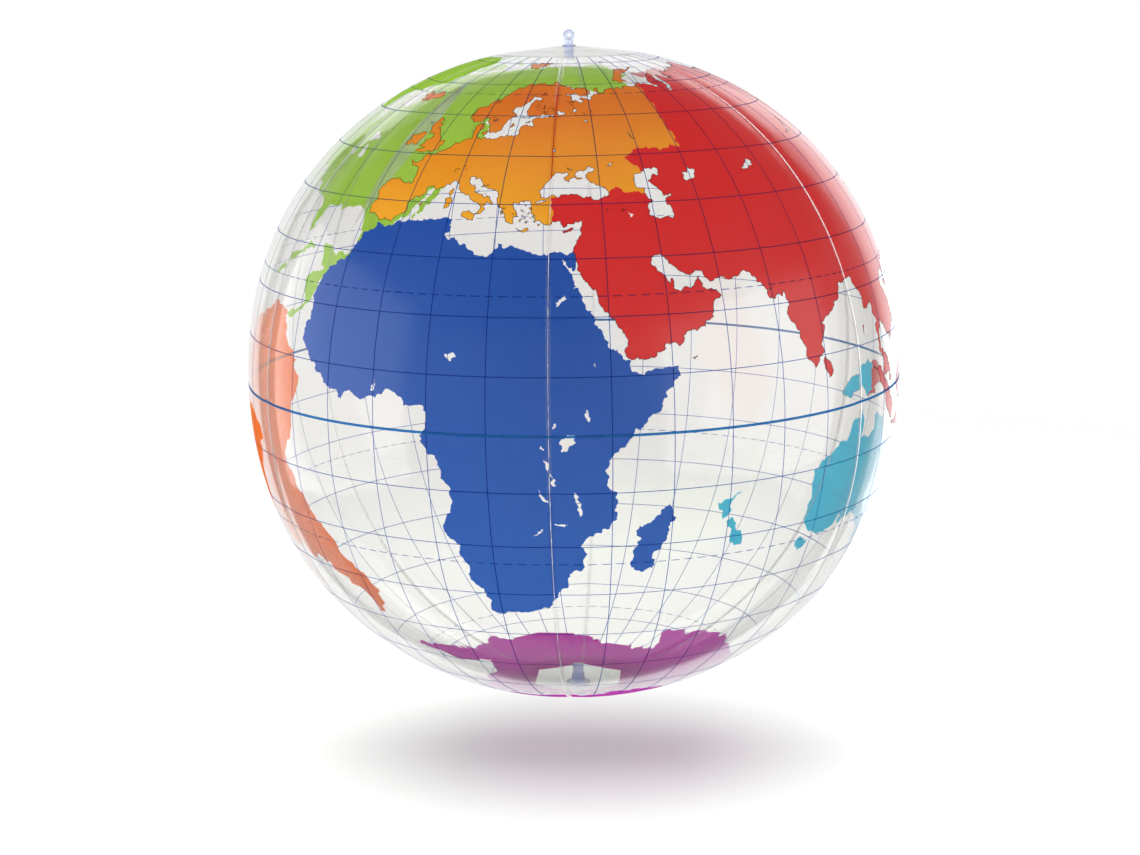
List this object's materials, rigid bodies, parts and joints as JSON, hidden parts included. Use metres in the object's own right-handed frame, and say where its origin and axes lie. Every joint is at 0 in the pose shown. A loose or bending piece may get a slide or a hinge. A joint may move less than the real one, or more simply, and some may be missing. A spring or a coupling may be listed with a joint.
{
  "type": "inflatable globe",
  "caption": "inflatable globe of clear vinyl film with printed continents, welded from gores, with polar patches, an air valve below and a hanging plug with an eye on top",
  "frame": {"origin": "middle of the inflated ball", "axes": "+Z through the north pole and the hanging eye; -Y through longitude 30 degrees east and +X through 120 degrees east, so the hanging eye's hole runs along Y"},
  "size_m": [0.686, 0.6866, 0.7038],
  "materials": {
    "printed_film": "clear glossy vinyl film with printed inks",
    "clear_film": "clear glossy vinyl film",
    "soft_vinyl": "soft clear vinyl with a blue tint"
  },
  "bodies": {
    "root": {"gore_australia": "printed_film", "gore_pacific": "printed_film", "gore_north_america": "printed_film", "gore_atlantic": "printed_film", "gore_west_africa": "printed_film", "gore_east_africa": "printed_film", "north_patch": "clear_film", "south_patch": "clear_film", "hang_flange": "soft_vinyl", "hang_skirt": "soft_vinyl", "valve_flange": "soft_vinyl", "valve_skirt": "soft_vinyl"},
    "hang_socket": {"hang_socket": "soft_vinyl"},
    "hang_plug": {"hang_plug": "soft_vinyl"},
    "valve_stem": {"valve_stem": "soft_vinyl", "valve_strap": "soft_vinyl"},
    "valve_plug": {"valve_plug": "soft_vinyl"},
    "check_flap": {"check_flap": "clear_film"}
  },
  "joints": [
    {"name": "hang_pop", "type": "slide", "parent": "root", "child": "hang_socket", "axis": [0, 0, 1], "range_m": [0, 0.016], "deforming": ["hang_skirt"]},
    {"name": "hang_turn", "type": "hinge", "parent": "hang_socket", "child": "hang_plug", "pos_m": [0, 0, 0.343], "axis": [0, 0, 1], "continuous": true},
    {"name": "valve_pop", "type": "slide", "parent": "root", "child": "valve_stem", "axis": [0, 0, -1], "range_m": [0, 0.016], "deforming": ["valve_skirt"]},
    {"name": "plug_pull", "type": "slide", "parent": "valve_stem", "child": "valve_plug", "axis": [0, 0, -1], "range_m": [0, 0.012], "deforming": ["valve_strap"]},
    {"name": "flap_swing", "type": "hinge", "parent": "valve_stem", "child": "check_flap", "pos_m": [-0.0054, 0, -0.3232], "axis": [0, -1, 0], "range_deg": [0, 65]}
  ]
}
